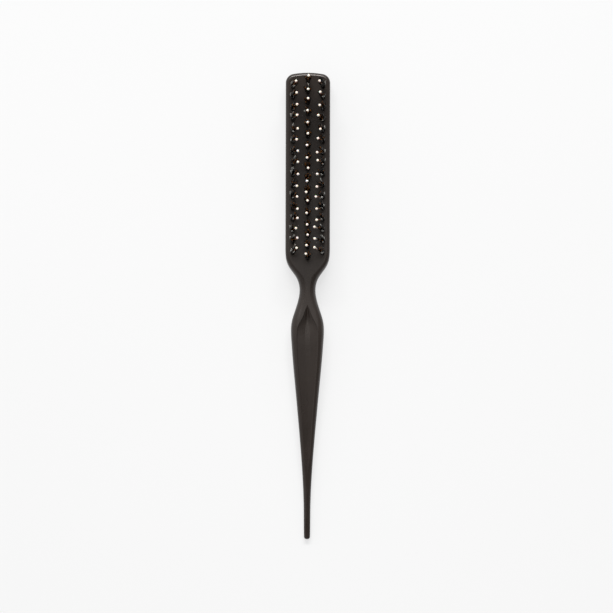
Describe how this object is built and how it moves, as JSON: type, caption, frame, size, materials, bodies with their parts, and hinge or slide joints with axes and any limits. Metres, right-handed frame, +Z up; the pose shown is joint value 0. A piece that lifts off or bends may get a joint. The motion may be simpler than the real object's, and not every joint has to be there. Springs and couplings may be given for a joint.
{
  "type": "teasing brush",
  "caption": "Slim teasing brush: rectangular head with rows of bristle tufts and ball-tipped pins, one-piece handle with a thumb scoop and a thin sectioning tail.",
  "frame": {"origin": "on the surface the brush lies on, under the middle of its length and width", "axes": "+Y along the brush towards the free end of the head, -Y towards the tail's tip, +Z up out of the bristle face, +X across the brush"},
  "size_m": [0.0222, 0.234, 0.0273],
  "materials": {
    "handle_plastic": "moulded black plastic, satin with a fine grain",
    "bristle": "black bristle, glossy",
    "pin_nylon": "translucent amber nylon, glossy",
    "staple_wire": "drawn flat wire"
  },
  "bodies": {
    "root": {"handle_body": "handle_plastic", "bristle_tuft_left_01": "bristle", "bristle_tuft_left_02": "bristle", "bristle_tuft_left_03": "bristle", "bristle_tuft_left_04": "bristle", "bristle_tuft_left_05": "bristle", "bristle_tuft_left_06": "bristle", "bristle_tuft_left_07": "bristle", "bristle_tuft_left_08": "bristle", "bristle_tuft_left_09": "bristle", "bristle_tuft_left_10": "bristle", "bristle_tuft_left_11": "bristle", "bristle_tuft_left_12": "bristle", "bristle_tuft_left_13": "bristle", "bristle_tuft_left_14": "bristle", "bristle_tuft_left_15": "bristle", "bristle_tuft_left_16": "bristle", "ball_pins_left": "pin_nylon", "staples_left": "staple_wire", "bristle_tuft_centre_01": "bristle", "bristle_tuft_centre_02": "bristle", "bristle_tuft_centre_03": "bristle", "bristle_tuft_centre_04": "bristle", "bristle_tuft_centre_05": "bristle", "bristle_tuft_centre_06": "bristle", "bristle_tuft_centre_07": "bristle", "bristle_tuft_centre_08": "bristle", "bristle_tuft_centre_09": "bristle", "bristle_tuft_centre_10": "bristle", "bristle_tuft_centre_11": "bristle", "bristle_tuft_centre_12": "bristle", "bristle_tuft_centre_13": "bristle", "bristle_tuft_centre_14": "bristle", "bristle_tuft_centre_15": "bristle", "bristle_tuft_centre_16": "bristle", "bristle_tuft_centre_17": "bristle", "ball_pins_centre": "pin_nylon", "staples_centre": "staple_wire", "bristle_tuft_right_01": "bristle", "bristle_tuft_right_02": "bristle", "bristle_tuft_right_03": "bristle", "bristle_tuft_right_04": "bristle", "bristle_tuft_right_05": "bristle", "bristle_tuft_right_06": "bristle", "bristle_tuft_right_07": "bristle", "bristle_tuft_right_08": "bristle", "bristle_tuft_right_09": "bristle", "bristle_tuft_right_10": "bristle", "bristle_tuft_right_11": "bristle", "bristle_tuft_right_12": "bristle", "bristle_tuft_right_13": "bristle", "bristle_tuft_right_14": "bristle", "bristle_tuft_right_15": "bristle", "bristle_tuft_right_16": "bristle", "ball_pins_right": "pin_nylon", "staples_right": "staple_wire"}
  },
  "joints": []
}
